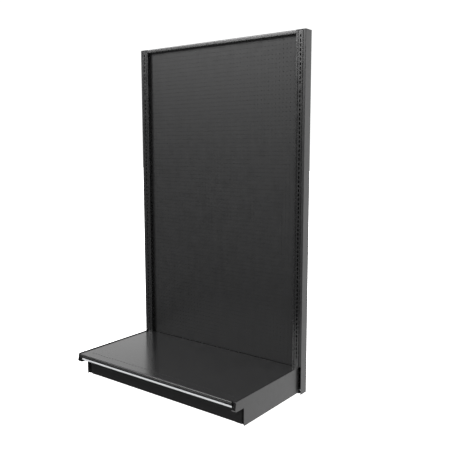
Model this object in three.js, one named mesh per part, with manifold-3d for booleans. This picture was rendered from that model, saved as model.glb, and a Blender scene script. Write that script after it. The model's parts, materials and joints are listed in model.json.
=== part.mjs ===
// Single-sided gondola shelving unit: two slotted uprights 48 in apart, a back panel held in
// rolled rails, and a base deck carried by hooked brackets over a lift-off kick plate.
// Millimetres, +Z up, +Y towards the back. The origin is on the floor, under the middle of the unit.

import * as THREE from 'three';
import { mergeGeometries, mergeVertices } from 'three/addons/utils/BufferGeometryUtils.js';
import Module from 'manifold-3d';

// ---- driving dimensions ----
const INCH = 25.4;
const BAY_WIDTH = 48 * INCH; // upright centre to upright centre
const HEIGHT = 2119; // floor to the top of the rail and caps
const FACE_Y = 282; // front plane of the uprights
const SHEET = 1.5; // folded sheet of the trims, rails, deck and kick plate
const GAP = 0.3; // clearance between pieces that touch

const POST_WIDTH = 1.25 * INCH;
const POST_DEPTH = 64;
const POST_WALL = 2;
const POST_BOTTOM = 20;
const POST_TOP = HEIGHT - 3.3;

const SLOT_PITCH = INCH;
const SLOT_WIDTH = 8;
const SLOT_HEIGHT = 16;
const SLOT_TOP_Z = 2083.5; // centre of the highest slot
const SLOT_OPEN_ROWS = 74; // rows 0..73 are above the deck
const SLOT_BLANK_ROW = 11; // this row is left unpunched
const BRACKET_ROWS = [77, 78, 79]; // rows that take the base bracket's hooks

const TRIM_OUTER_X = 643; // outer face of the upright end trims
const TRIM_STRIP = 11.8; // width of the inner side strips' fronts
const STRIP_SEAM = 1.5; // open groove between a strip and the post
const STRIP_BOTTOM = 171; // the outer strip is cut away below this
const TRIM_BOTTOM = 1;
const HEM_DEPTH = 16;

const PANEL_SETBACK = 25; // panel face behind the uprights' front plane
const PANEL_THICKNESS = 6;
const PANEL_BOTTOM = 142;
const PANEL_TOP = 2110;

const RAIL_FACE = 21.5; // height of the top rail's front face
const MID_RAIL_Z = [760, 1430];
const MID_RAIL_HEIGHT = 60;
const MID_RAIL_DEPTH = 22;
const RAIL_TAB = { width: 18, reach: 5 };
const BOTTOM_RAIL = [110, 200];
const BOTTOM_TAB_Z = 175;
const CLIP_Z = { upper: 1700, lower: 400 };

const DECK_TOP = 161; // the pan sits a little below its raised nose and the end trims
const DECK_HALF = 623.4;
const DECK_LIP_Y = FACE_Y - 616.5; // front face of the deck's lip
const DECK_LIP_BOTTOM = 129;
const LIP_RETURN = 12; // how far the lip's bottom edge turns back
const DECK_HOLE_Y = FACE_Y - 556; // row of small holes behind the nose
const DECK_HOLE_RADIUS = 2.6;
const NOSE_HALF = 600; // the rolled nose and the price channel stop here
const NOSE_Y = FACE_Y - 630;
const NOSE_RADIUS = 6.5;
const NOSE_Z = 160; // centre of the roll

const BASE_TRIM_X = 625.5;
const BASE_TRIM_TOP = 166;
const BASE_TRIM_BOTTOM = 11.5;
const TRIM_NOSE = { topY: FACE_Y - 620.5, lowY: FACE_Y - 629, lowZ: 124, bottom: 112, radius: 12 };
const TAB_END_X = 598; // inner end of the tab under the lip
const TAB_TOP = 117.5;
const KICK_NOTCH_Y = FACE_Y - 553; // front edge of the end trim below the nose
const KICK_FACE_Y = FACE_Y - 540;
const KICK_HALF = 602;
const KICK_BOTTOM = 11;
const KICK_TOP = 128;
const KICK_RETURN_HALF = 562; // the lower return stops short of the levelers
const KICK_SEAM = { x: -304, width: 4, depth: 0.7 }; // pressed upright line in the face
const KICK_HOOK = { x: [593, 597], seat: 56, top: 72, bottom: 45 };

const BRACKET_SHEET = 3;
const BRACKET_FLANGE = 25;
const BRACKET_TOP = DECK_TOP - SHEET - GAP;
const FOOT_Z = 22; // underside of the plates that the leveler studs screw through
const FOOT_SHEET = 3;
const FRONT_LEVELER = { x: 590, y: FACE_Y - 500 };
const BRACKET_TOE_TOP = 122;
const STUD_RADIUS = 4.76; // 3/8 in stud
const STIFFENER_HALF = 574;
const STIFFENER_Y = { front: FACE_Y - 470, middle: FACE_Y - 300, rear: FACE_Y - 130 };
const BASE_CLIP = { zs: [96, 120], width: 45 };

const POST_X = BAY_WIDTH / 2;
const POST_INNER_X = POST_X - POST_WIDTH / 2;
const POST_OUTER_X = POST_X + POST_WIDTH / 2;
const PANEL_Y = FACE_Y + PANEL_SETBACK;
const RAIL_Y = PANEL_Y + PANEL_THICKNESS + GAP * 2; // front of the webs behind the panel
const REAR_Y = FACE_Y + POST_DEPTH + SHEET + GAP;

// ---- materials ----
function metal(color, roughness) {
  return new THREE.MeshStandardMaterial({ color, roughness, metalness: 0.3 });
}
const paint = {
  frame: metal(0x2a2a2b, 0.32),
  trim: metal(0x2d2d2e, 0.36),
  panel: metal(0x262627, 0.45),
  deck: metal(0x2a2a2b, 0.25),
  kick: metal(0x1a1a1b, 0.35),
  zinc: new THREE.MeshStandardMaterial({ color: 0xc2c4c6, roughness: 0.35, metalness: 0.9 }),
  blackPlastic: new THREE.MeshStandardMaterial({ color: 0x101011, roughness: 0.5, metalness: 0 }),
  whitePlastic: new THREE.MeshStandardMaterial({ color: 0xe4e5e6, roughness: 0.4, metalness: 0 }),
};

// ---- solids ----
const wasm = await Module();
wasm.setup();

function toSolid(geometry) {
  const plain = geometry.clone();
  plain.deleteAttribute('normal');
  plain.deleteAttribute('uv');
  const merged = mergeVertices(plain, 1e-4);
  return new wasm.Manifold(new wasm.Mesh({
    numProp: 3,
    vertProperties: new Float32Array(merged.attributes.position.array),
    triVerts: new Uint32Array(merged.index.array),
  }));
}

function toGeometry(solid) {
  const mesh = solid.getMesh();
  const geometry = new THREE.BufferGeometry();
  geometry.setAttribute('position', new THREE.BufferAttribute(mesh.vertProperties, 3));
  geometry.setIndex(new THREE.BufferAttribute(mesh.triVerts, 1));
  geometry.computeVertexNormals();
  return geometry;
}

function join(first, ...others) {
  return toGeometry(others.reduce((sum, next) => sum.add(toSolid(next)), toSolid(first)));
}

function cut(body, ...tools) {
  return toGeometry(tools.reduce((rest, tool) => rest.subtract(toSolid(tool)), toSolid(body)));
}

function span(a, b) {
  return [Math.min(a, b), Math.max(a, b)];
}

function bar(xs, ys, zs) {
  const [x0, x1] = span(...xs);
  const [y0, y1] = span(...ys);
  const [z0, z1] = span(...zs);
  const geometry = new THREE.BoxGeometry(x1 - x0, y1 - y0, z1 - z0);
  return geometry.translate((x0 + x1) / 2, (y0 + y1) / 2, (z0 + z1) / 2);
}

function outline(points) {
  return new THREE.Shape(points.map(([u, v]) => new THREE.Vector2(u, v)));
}

// A Y-Z outline pulled along X.
function alongX(shape, xs) {
  const [x0, x1] = span(...xs);
  const options = { depth: x1 - x0, bevelEnabled: false, curveSegments: 6 };
  const geometry = new THREE.ExtrudeGeometry(shape, options);
  const axes = [new THREE.Vector3(0, 1, 0), new THREE.Vector3(0, 0, 1), new THREE.Vector3(1, 0, 0)];
  geometry.applyMatrix4(new THREE.Matrix4().makeBasis(...axes));
  return geometry.translate(x0, 0, 0);
}

// An X-Z outline pulled along Y.
function alongY(shape, ys) {
  const [y0, y1] = span(...ys);
  const geometry = new THREE.ExtrudeGeometry(shape, { depth: y1 - y0, bevelEnabled: false });
  const axes = [new THREE.Vector3(1, 0, 0), new THREE.Vector3(0, 0, 1), new THREE.Vector3(0, -1, 0)];
  geometry.applyMatrix4(new THREE.Matrix4().makeBasis(...axes));
  return geometry.translate(0, y1, 0);
}

// An X-Y outline pulled along Z.
function alongZ(shape, zs) {
  const [z0, z1] = span(...zs);
  const geometry = new THREE.ExtrudeGeometry(shape, { depth: z1 - z0, bevelEnabled: false });
  return geometry.translate(0, 0, z0);
}

// A folded strip seen end on: the fold line's points, thickened to its left.
function folded(points, thickness) {
  const line = points.map(([u, v]) => new THREE.Vector2(u, v));
  const offset = line.map((point, i) => {
    const before = line[Math.max(i - 1, 0)];
    const after = line[Math.min(i + 1, line.length - 1)];
    const into = point.clone().sub(i > 0 ? before : point.clone().multiplyScalar(2).sub(after));
    const out = (i < line.length - 1 ? after.clone() : point.clone().add(into)).sub(point);
    const a = new THREE.Vector2(-into.y, into.x).normalize();
    const b = new THREE.Vector2(-out.y, out.x).normalize();
    const mitre = a.clone().add(b);
    return point.clone().addScaledVector(mitre, thickness / (1 + a.dot(b)));
  });
  return new THREE.Shape([...line, ...offset.reverse()]);
}

function turned(profile, segments, x, y) {
  const points = profile.map(([r, z]) => new THREE.Vector2(r, z));
  const geometry = new THREE.LatheGeometry(points, segments);
  geometry.rotateX(Math.PI / 2);
  return geometry.translate(x, y, 0);
}

function pillar(radius, sides, x, y, zs) {
  const geometry = new THREE.CylinderGeometry(radius, radius, zs[1] - zs[0], sides);
  geometry.rotateX(Math.PI / 2);
  return geometry.translate(x, y, (zs[0] + zs[1]) / 2);
}

function slotZ(row) {
  return SLOT_TOP_Z - row * SLOT_PITCH;
}

const unit = new THREE.Group();
const SIDES = [['left', -1], ['right', 1]];

function place(name, geometry, material) {
  const mesh = new THREE.Mesh(geometry, material);
  mesh.name = name;
  unit.add(mesh);
}

// ---- uprights: slotted rectangular tubes ----
const railTabs = [PANEL_TOP - 34, ...MID_RAIL_Z, BOTTOM_TAB_Z]; // heights of the rails' end tabs

function upright(side) {
  const ys = [FACE_Y, FACE_Y + POST_DEPTH];
  const outer = bar([side * POST_INNER_X, side * POST_OUTER_X], ys, [POST_BOTTOM, POST_TOP]);
  const inside = bar(
    [side * (POST_INNER_X + POST_WALL), side * (POST_OUTER_X - POST_WALL)],
    [ys[0] + POST_WALL, ys[1] - POST_WALL],
    [POST_BOTTOM - 1, POST_TOP + 1],
  );
  const rows = [...Array(SLOT_OPEN_ROWS).keys()].filter((row) => row !== SLOT_BLANK_ROW);
  const slots = [...rows, ...BRACKET_ROWS].map((row) => bar(
    [side * POST_X - SLOT_WIDTH / 2, side * POST_X + SLOT_WIDTH / 2],
    [ys[0] - 1, ys[0] + POST_WALL + 1],
    [slotZ(row) - SLOT_HEIGHT / 2, slotZ(row) + SLOT_HEIGHT / 2],
  ));
  const tabSlots = railTabs.map((z) => bar(
    [side * (POST_INNER_X - 1), side * (POST_INNER_X + POST_WALL + 1)],
    [RAIL_Y - 1, RAIL_Y + SHEET + 1],
    [z - RAIL_TAB.width / 2 - 1, z + RAIL_TAB.width / 2 + 4],
  ));
  return cut(outer, inside, mergeGeometries([...slots, ...tabSlots]));
}

// Moulded cap: a flat lid with a plug that drops into the tube.
function uprightCap(side) {
  const inset = POST_WALL + GAP;
  const lid = bar(
    [side * (POST_INNER_X - TRIM_STRIP - STRIP_SEAM), side * TRIM_OUTER_X],
    [FACE_Y, REAR_Y],
    [POST_TOP + GAP, HEIGHT],
  );
  const plug = bar(
    [side * (POST_INNER_X + inset), side * (POST_OUTER_X - inset)],
    [FACE_Y + inset, FACE_Y + POST_DEPTH - inset],
    [POST_TOP - 18, HEIGHT - 1],
  );
  return join(lid, plug);
}

// Welded in the foot of the tube for the leveler's stud.
function footPlate(side) {
  const inset = POST_WALL + GAP;
  const plate = bar(
    [side * (POST_INNER_X + inset), side * (POST_OUTER_X - inset)],
    [FACE_Y + inset, FACE_Y + POST_DEPTH - inset],
    [FOOT_Z, FOOT_Z + FOOT_SHEET],
  );
  const y = FACE_Y + POST_DEPTH / 2;
  const hole = pillar(STUD_RADIUS + GAP, 16, side * POST_X, y, [FOOT_Z - 1, FOOT_Z + 9]);
  return cut(plate, hole);
}

// ---- trims beside the uprights ----
// Outer cover: hem against the tube, front strip, side, rear return.
function uprightEndTrim(side) {
  const hemX = POST_OUTER_X + GAP;
  const path = [
    [side * hemX, FACE_Y + HEM_DEPTH],
    [side * hemX, FACE_Y + 2],
    [side * (POST_OUTER_X + STRIP_SEAM), FACE_Y],
    [side * TRIM_OUTER_X, FACE_Y],
    [side * TRIM_OUTER_X, REAR_Y],
    [side * (POST_X + 2), REAR_Y],
  ];
  const cover = alongZ(folded(path, side * SHEET), [TRIM_BOTTOM, POST_TOP]);
  const relief = bar(
    [side * (POST_OUTER_X - 2), side * (TRIM_OUTER_X - SHEET)],
    [FACE_Y - 1, FACE_Y + HEM_DEPTH + 1],
    [0, STRIP_BOTTOM],
  );
  return cut(cover, relief);
}

// Spring clip between the tube and the outer cover.
function uprightTrimClip(side, z) {
  const inner = side * (POST_OUTER_X + GAP);
  const outer = side * (TRIM_OUTER_X - SHEET - GAP);
  const y = FACE_Y + 28;
  const path = [[inner, y + 24], [inner, y], [outer, y], [outer, y + 24]];
  return alongZ(folded(path, side * SHEET), [z, z + 36]);
}

// Inner cover: front strip, side wall back to the panel, lip in front of the panel's edge.
function panelSideStrip(side) {
  const hemX = POST_INNER_X - GAP;
  const innerX = POST_INNER_X - TRIM_STRIP - STRIP_SEAM;
  const path = [
    [side * hemX, FACE_Y + HEM_DEPTH],
    [side * hemX, FACE_Y + 2],
    [side * (POST_INNER_X - STRIP_SEAM), FACE_Y],
    [side * innerX, FACE_Y],
    [side * innerX, PANEL_Y - GAP],
    [side * (POST_INNER_X - GAP * 3), PANEL_Y - GAP],
  ];
  return alongZ(folded(path, -side * SHEET), [DECK_TOP + 1.5, POST_TOP]);
}

// ---- back panel and the rails that hold it ----
const PANEL_HALF = POST_INNER_X - GAP * 3;

function backPanel() {
  const ys = [PANEL_Y, PANEL_Y + PANEL_THICKNESS];
  return bar([-PANEL_HALF, PANEL_HALF], ys, [PANEL_BOTTOM, PANEL_TOP]);
}

// Tabs on both ends of a rail, passing through the tubes' side slots.
function endTabs(z) {
  return SIDES.map(([, side]) => bar(
    [side * (PANEL_HALF - 20), side * (POST_INNER_X + POST_WALL + RAIL_TAB.reach)],
    [RAIL_Y, RAIL_Y + SHEET],
    [z - RAIL_TAB.width / 2, z + RAIL_TAB.width / 2],
  ));
}

function topRail() {
  const half = POST_INNER_X - TRIM_STRIP - STRIP_SEAM - GAP;
  const front = FACE_Y + GAP;
  const path = [
    [PANEL_Y - GAP, HEIGHT - 6],
    [PANEL_Y - GAP, HEIGHT - RAIL_FACE],
    [front, HEIGHT - RAIL_FACE],
    [front, HEIGHT],
    [RAIL_Y + SHEET, HEIGHT],
    [RAIL_Y + SHEET, PANEL_TOP - 55],
  ];
  const rail = alongX(folded(path, -SHEET), [-half, half]);
  return join(rail, ...endTabs(railTabs[0]));
}

function midRail(z) {
  const low = z - MID_RAIL_HEIGHT / 2;
  const high = z + MID_RAIL_HEIGHT / 2;
  const back = RAIL_Y + MID_RAIL_DEPTH;
  const path = [
    [back, high - 10], [back, high], [RAIL_Y, high], [RAIL_Y, low], [back, low], [back, low + 10],
  ];
  return join(alongX(folded(path, SHEET), [-PANEL_HALF, PANEL_HALF]), ...endTabs(z));
}

function bottomRail() {
  const [low, high] = BOTTOM_RAIL;
  const web = alongX(
    folded([[RAIL_Y + MID_RAIL_DEPTH, low], [RAIL_Y, low], [RAIL_Y, high]], -SHEET),
    [-PANEL_HALF, PANEL_HALF],
  );
  const seat = PANEL_BOTTOM - GAP;
  const cradle = alongX(
    folded([[RAIL_Y + 1, seat], [PANEL_Y - GAP, seat], [PANEL_Y - GAP, seat + 20]], SHEET),
    [-PANEL_HALF, PANEL_HALF],
  );
  return join(web, cradle, ...endTabs(railTabs[3]));
}

// ---- base: brackets, end trims, clips ----
// Each bracket is a notched side plate with inward flanges; its three hooks drop behind the
// tube's front wall. The front flange is slotted for the kick plate's hook.
function baseBracket(side) {
  const inner = side * (POST_X - BRACKET_SHEET / 2);
  const outer = side * (POST_X + BRACKET_SHEET / 2);
  const flangeX = side * (POST_X - BRACKET_SHEET / 2 - BRACKET_FLANGE);
  const back = FACE_Y - GAP;
  const toe = KICK_FACE_Y + 4;
  const nose = DECK_LIP_Y + SHEET + LIP_RETURN + 3;
  const plate = alongX(outline([
    [back, FOOT_Z + 8], [back, BRACKET_TOP], [nose, BRACKET_TOP], [nose, BRACKET_TOE_TOP],
    [toe, BRACKET_TOE_TOP], [toe, FOOT_Z], [toe + 90, FOOT_Z], [toe + 120, FOOT_Z + 8],
  ]), [inner, outer]);
  const topFlange = bar([outer, flangeX], [nose, back - 20], [BRACKET_TOP - SHEET, BRACKET_TOP]);
  const frontFlange = bar([outer, flangeX], [toe, toe + SHEET], [FOOT_Z, BRACKET_TOE_TOP - 10]);
  const footFlange = bar([outer, flangeX - side * 10], [toe, toe + 74], [FOOT_Z, FOOT_Z + FOOT_SHEET]);
  const hooks = BRACKET_ROWS.flatMap((row) => {
    const seat = slotZ(row) - SLOT_HEIGHT / 2 + GAP;
    const behind = FACE_Y + POST_WALL + GAP;
    return [
      bar([inner, outer], [back - 1, behind + 4], [seat, seat + 11]),
      bar([inner, outer], [behind, behind + 4], [seat - 6, seat + 11]),
    ];
  });
  const body = join(plate, topFlange, frontFlange, footFlange, ...hooks);
  const studHole = pillar(
    STUD_RADIUS + GAP, 16, side * FRONT_LEVELER.x, FRONT_LEVELER.y, [FOOT_Z - 1, FOOT_Z + 9],
  );
  const hookSlot = bar(
    [side * (KICK_HOOK.x[0] - 2.5), side * (KICK_HOOK.x[1] + 2.5)],
    [toe - 1, toe + SHEET + 1],
    [KICK_HOOK.seat, KICK_HOOK.seat + 32],
  );
  return cut(body, studHole, hookSlot);
}

// Outer cover of the base. Its nose leans forward to a rounded lower corner, where a tab runs
// under the deck's lip.
function baseEndTrim(side) {
  const { topY, lowY, lowZ, bottom, radius } = TRIM_NOSE;
  const centreY = lowY + radius;
  const centreZ = bottom + radius;
  const shape = new THREE.Shape();
  shape.moveTo(FACE_Y - GAP, BASE_TRIM_BOTTOM);
  shape.lineTo(FACE_Y - GAP, BASE_TRIM_TOP);
  shape.lineTo(topY, BASE_TRIM_TOP);
  shape.lineTo(lowY, lowZ);
  shape.absarc(centreY, centreZ, radius, Math.PI, Math.PI * 1.5, false);
  shape.lineTo(KICK_NOTCH_Y, bottom);
  shape.lineTo(KICK_NOTCH_Y, BASE_TRIM_BOTTOM);
  const skin = alongX(shape, [side * BASE_TRIM_X, side * (BASE_TRIM_X - SHEET)]);
  const curl = new THREE.Shape();
  const curlStart = Math.PI + Math.asin((centreZ - TAB_TOP) / radius);
  curl.absarc(centreY, centreZ, radius - GAP, curlStart, Math.PI * 1.5, false);
  curl.lineTo(centreY + 30, bottom + GAP);
  curl.lineTo(centreY + 30, bottom + GAP + SHEET);
  curl.absarc(centreY, centreZ, radius - GAP - SHEET, Math.PI * 1.5, curlStart, true);
  const tab = alongX(curl, [side * (BASE_TRIM_X - SHEET / 2), side * TAB_END_X]);
  const hem = bar(
    [side * (BASE_TRIM_X - SHEET / 2), side * (POST_X + BRACKET_SHEET / 2 + GAP)],
    [KICK_NOTCH_Y + 14, FACE_Y - 4],
    [BASE_TRIM_BOTTOM, BASE_TRIM_BOTTOM + SHEET],
  );
  return join(skin, tab, hem);
}

// Hat-shaped clip between the bracket's plate and the end trim.
function baseTrimClip(side, y) {
  const inner = side * (POST_X + BRACKET_SHEET / 2 + GAP);
  const outer = side * (BASE_TRIM_X - SHEET - GAP);
  const [low, high] = BASE_CLIP.zs;
  const path = [[inner, low], [inner, high], [outer, high], [outer, low]];
  return alongY(folded(path, -side * SHEET), [y, y + BASE_CLIP.width]);
}

// ---- deck and what rides on it ----
function baseDeck() {
  const lipBack = DECK_LIP_Y + SHEET;
  const rear = FACE_Y + 16;
  const corner = FACE_Y - 1;
  const notch = POST_INNER_X - TRIM_STRIP - STRIP_SEAM - 1;
  const under = DECK_TOP - SHEET;
  const top = alongZ(outline([
    [-DECK_HALF, DECK_LIP_Y], [DECK_HALF, DECK_LIP_Y], [DECK_HALF, corner], [notch, corner],
    [notch, rear], [-notch, rear], [-notch, corner], [-DECK_HALF, corner],
  ]), [under, DECK_TOP]);
  const lipPath = [
    [lipBack + LIP_RETURN, DECK_LIP_BOTTOM], [DECK_LIP_Y, DECK_LIP_BOTTOM], [DECK_LIP_Y, DECK_TOP],
  ];
  const lip = alongX(folded(lipPath, -SHEET), [-DECK_HALF, DECK_HALF]);
  const rearFlange = bar([-notch, notch], [rear - SHEET, rear], [DECK_TOP - 24, DECK_TOP]);
  const endFlanges = SIDES.map(([, side]) => bar(
    [side * DECK_HALF, side * (DECK_HALF - SHEET)], [DECK_LIP_Y, corner], [DECK_TOP - 18, DECK_TOP],
  ));
  const nose = new THREE.Shape();
  nose.moveTo(lipBack, NOSE_Z - NOSE_RADIUS);
  nose.absarc(lipBack - NOSE_RADIUS, NOSE_Z, NOSE_RADIUS, 0, Math.PI / 2, false);
  nose.absarc(NOSE_Y + NOSE_RADIUS, NOSE_Z, NOSE_RADIUS, Math.PI / 2, Math.PI * 1.5, false);
  const roll = alongX(nose, [-NOSE_HALF, NOSE_HALF]);
  const count = Math.floor(NOSE_HALF / INCH);
  const holes = [...Array(2 * count - 1).keys()].map((i) => pillar(
    DECK_HOLE_RADIUS, 6, (i - count + 1) * INCH, DECK_HOLE_Y, [under - 1, DECK_TOP + 1],
  ));
  return cut(join(top, lip, rearFlange, ...endFlanges, roll), mergeGeometries(holes));
}

// Hat section under the deck, its rims against the sheet.
function deckStiffener(y) {
  const rim = DECK_TOP - SHEET - GAP;
  const low = rim - 18;
  const path = [[y - 42, rim], [y - 24, rim], [y - 18, low], [y + 18, low], [y + 24, rim], [y + 42, rim]];
  return alongX(folded(path, -SHEET), [-STIFFENER_HALF, STIFFENER_HALF]);
}

const CHANNEL_TOP = NOSE_Z - NOSE_RADIUS - GAP;
const CHANNEL_BOTTOM = DECK_LIP_BOTTOM + 1;
const CHANNEL_Y = DECK_LIP_Y - GAP;
const CHANNEL_FRONT = NOSE_Y + 2;
const CHANNEL_WALL = 1.2;
const CHANNEL_MOUTH = [131.4, 145.2]; // between the hooked edges
const INSERT_X = [-NOSE_HALF + 15, NOSE_HALF - 1]; // slid along to the right-hand end

// C-shaped plastic extrusion on the lip; its hooked edges hold the white insert.
function priceChannel() {
  const path = [
    [CHANNEL_FRONT, CHANNEL_MOUTH[1]], [CHANNEL_FRONT, CHANNEL_TOP], [CHANNEL_Y, CHANNEL_TOP],
    [CHANNEL_Y, CHANNEL_BOTTOM], [CHANNEL_FRONT, CHANNEL_BOTTOM], [CHANNEL_FRONT, CHANNEL_MOUTH[0]],
  ];
  return alongX(folded(path, -CHANNEL_WALL), [-NOSE_HALF, NOSE_HALF]);
}

function priceInsert() {
  const front = CHANNEL_FRONT + CHANNEL_WALL + GAP;
  const zs = [CHANNEL_BOTTOM + CHANNEL_WALL + GAP, CHANNEL_TOP - CHANNEL_WALL - GAP];
  return bar(INSERT_X, [front, front + 1], zs);
}

// ---- kick plate ----
function kickPlate() {
  const back = KICK_FACE_Y + SHEET;
  const face = bar([-KICK_HALF, KICK_HALF], [KICK_FACE_Y, back], [KICK_BOTTOM, KICK_TOP]);
  const topReturn = bar([-KICK_HALF, KICK_HALF], [KICK_FACE_Y, back + 10], [KICK_TOP - SHEET, KICK_TOP]);
  const lowReturn = bar(
    [-KICK_RETURN_HALF, KICK_RETURN_HALF],
    [KICK_FACE_Y, back + 8],
    [KICK_BOTTOM, KICK_BOTTOM + SHEET],
  );
  const seam = bar(
    [KICK_SEAM.x, KICK_SEAM.x + KICK_SEAM.width],
    [KICK_FACE_Y - 1, KICK_FACE_Y + KICK_SEAM.depth],
    [KICK_BOTTOM + 6, KICK_TOP - 6],
  );
  return cut(join(face, topReturn, lowReturn), seam);
}

// Hook plate behind the kick plate, dropped through the bracket's front flange.
function kickHook(side) {
  const front = KICK_FACE_Y + SHEET + GAP;
  const behind = KICK_FACE_Y + 4 + SHEET + 0.5;
  const { x, seat, top, bottom } = KICK_HOOK;
  const notch = seat + 0.4;
  return alongX(outline([
    [front, bottom], [front + 1.4, bottom], [front + 1.4, notch], [behind, notch], [behind, bottom],
    [behind + 4, bottom], [behind + 4, top], [front, top],
  ]), x.map((edge) => side * edge));
}

// ---- levelers: swivel pad, stud with a hex collar, nut ----
const COLLAR = [14.3, FOOT_Z - GAP];
const STUD_FOOT = 4.3;
const STUD_TOP = 62;

function levelerPad(x, y) {
  const profile = [
    [0, 0], [18, 0], [20, 1.5], [20, 5], [11, 9], [9, 14],
    [STUD_RADIUS + GAP, 14], [STUD_RADIUS + GAP, 4], [0, 4],
  ];
  return turned(profile, 32, x, y);
}

function levelerStud(x, y) {
  const shank = pillar(STUD_RADIUS, 16, x, y, [STUD_FOOT, STUD_TOP]);
  return join(shank, pillar(8, 6, x, y, COLLAR));
}

function levelerNut(x, y, seat) {
  const zs = [seat + GAP, seat + GAP + 8];
  return cut(pillar(9, 6, x, y, zs), pillar(STUD_RADIUS + GAP, 16, x, y, [zs[0] - 1, zs[1] + 1]));
}

// ---- assembly ----
for (const [name, side] of SIDES) {
  place(`upright_${name}`, upright(side), paint.frame);
  place(`upright_cap_${name}`, uprightCap(side), paint.blackPlastic);
  place(`upright_foot_plate_${name}`, footPlate(side), paint.zinc);
  place(`upright_end_trim_${name}`, uprightEndTrim(side), paint.trim);
  for (const [level, z] of Object.entries(CLIP_Z)) {
    place(`upright_trim_clip_${name}_${level}`, uprightTrimClip(side, z), paint.zinc);
  }
  place(`panel_side_strip_${name}`, panelSideStrip(side), paint.frame);
  place(`base_bracket_${name}`, baseBracket(side), paint.kick);
  place(`base_end_trim_${name}`, baseEndTrim(side), paint.trim);
  place(`base_trim_clip_${name}_front`, baseTrimClip(side, STIFFENER_Y.front), paint.zinc);
  place(`base_trim_clip_${name}_rear`, baseTrimClip(side, FACE_Y - 120), paint.zinc);
  place(`kick_hook_${name}`, kickHook(side), paint.kick);
  const levelers = [
    ['front', side * FRONT_LEVELER.x, FRONT_LEVELER.y],
    ['rear', side * POST_X, FACE_Y + POST_DEPTH / 2],
  ];
  for (const [end, x, y] of levelers) {
    place(`leveler_pad_${name}_${end}`, levelerPad(x, y), paint.blackPlastic);
    place(`leveler_stud_${name}_${end}`, levelerStud(x, y), paint.zinc);
    place(`leveler_nut_${name}_${end}`, levelerNut(x, y, FOOT_Z + FOOT_SHEET), paint.zinc);
  }
}
place('back_panel', backPanel(), paint.panel);
place('top_rail', topRail(), paint.frame);
place('mid_rail_lower', midRail(MID_RAIL_Z[0]), paint.frame);
place('mid_rail_upper', midRail(MID_RAIL_Z[1]), paint.frame);
place('bottom_rail', bottomRail(), paint.frame);
place('base_deck', baseDeck(), paint.deck);
for (const [name, y] of Object.entries(STIFFENER_Y)) {
  place(`deck_stiffener_${name}`, deckStiffener(y), paint.deck);
}
place('price_channel', priceChannel(), paint.blackPlastic);
place('price_insert', priceInsert(), paint.whitePlastic);
place('kick_plate', kickPlate(), paint.kick);

export default unit;
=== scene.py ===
"""Gondola shelving unit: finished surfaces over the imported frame, lit in a pale studio."""

import json
import math

import bmesh
import bpy
from mathutils import Matrix, Vector


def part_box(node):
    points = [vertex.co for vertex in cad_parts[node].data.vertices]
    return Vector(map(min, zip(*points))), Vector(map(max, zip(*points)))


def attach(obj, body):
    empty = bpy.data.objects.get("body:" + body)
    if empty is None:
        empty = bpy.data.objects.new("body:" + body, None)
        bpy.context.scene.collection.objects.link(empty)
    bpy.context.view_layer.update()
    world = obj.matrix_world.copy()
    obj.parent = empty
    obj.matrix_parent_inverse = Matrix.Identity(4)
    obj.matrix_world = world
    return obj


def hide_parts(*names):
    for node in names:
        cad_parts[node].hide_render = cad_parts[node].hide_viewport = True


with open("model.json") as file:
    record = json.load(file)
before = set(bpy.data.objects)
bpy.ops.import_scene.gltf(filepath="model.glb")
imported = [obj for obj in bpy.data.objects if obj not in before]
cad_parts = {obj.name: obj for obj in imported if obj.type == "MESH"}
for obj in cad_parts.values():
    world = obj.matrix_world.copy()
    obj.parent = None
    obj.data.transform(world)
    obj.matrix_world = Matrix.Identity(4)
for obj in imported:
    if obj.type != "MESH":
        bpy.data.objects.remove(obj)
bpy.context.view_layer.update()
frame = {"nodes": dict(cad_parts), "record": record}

# ---- sizes, in millimetres ----
MM = 0.001
INCH = 25.4
SHEET = 1.5  # folded sheet metal
BEND = 2.2  # bend radius at the middle of the sheet
TIGHT_BEND = 1.6
GAP = 0.3  # clearance between neighbouring pieces
SLOT_WIDTH = 8.0
SLOT_HEIGHT = 16.0
SLOT_TOP_Z = 2083.5  # middle of the topmost slot
SLOT_ROWS = 74
BLANK_ROW = 11  # the row left unpunched
BRACKET_ROWS = (77, 78, 79)  # slots the base bracket hooks into
TAB_HEIGHTS = (2076, 1430, 760, 175)  # top, upper, lower and bottom rail tabs
NOSE_RADIUS, NOSE_Z = 6.5, 160.0  # the deck's rolled nose
RAIL_FACE = 21.5  # height of the top rail's front face
RAIL_EDGE = 5.0  # bend radius of its upper front edge
THREAD_BORE = 5.06  # radius of the holes the leveler studs pass through
TRIM_RELIEF_TOP = 171  # the upright end trim's front strip is cut away below this
STUD_PITCH = 1.5875
SIDES = (("left", -1), ("right", 1))


def limits(node):
    """A CAD node's box in millimetres: (x0, x1), (y0, y1), (z0, z1)."""
    low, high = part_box(node)
    return [(low[i] / MM, high[i] / MM) for i in range(3)]


def middle(node):
    """The middle of a CAD node's box in X and Y."""
    xs, ys, _ = limits(node)
    return (xs[0] + xs[1]) / 2, (ys[0] + ys[1]) / 2


# ---- mesh helpers ----
def axis_point(axis, u, v, w):
    """A point of a 2-D outline (u, v) at distance w along the given axis."""
    if axis == "X":
        return Vector((w, u, v))
    if axis == "Y":
        return Vector((u, w, v))
    return Vector((u, v, w))


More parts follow.
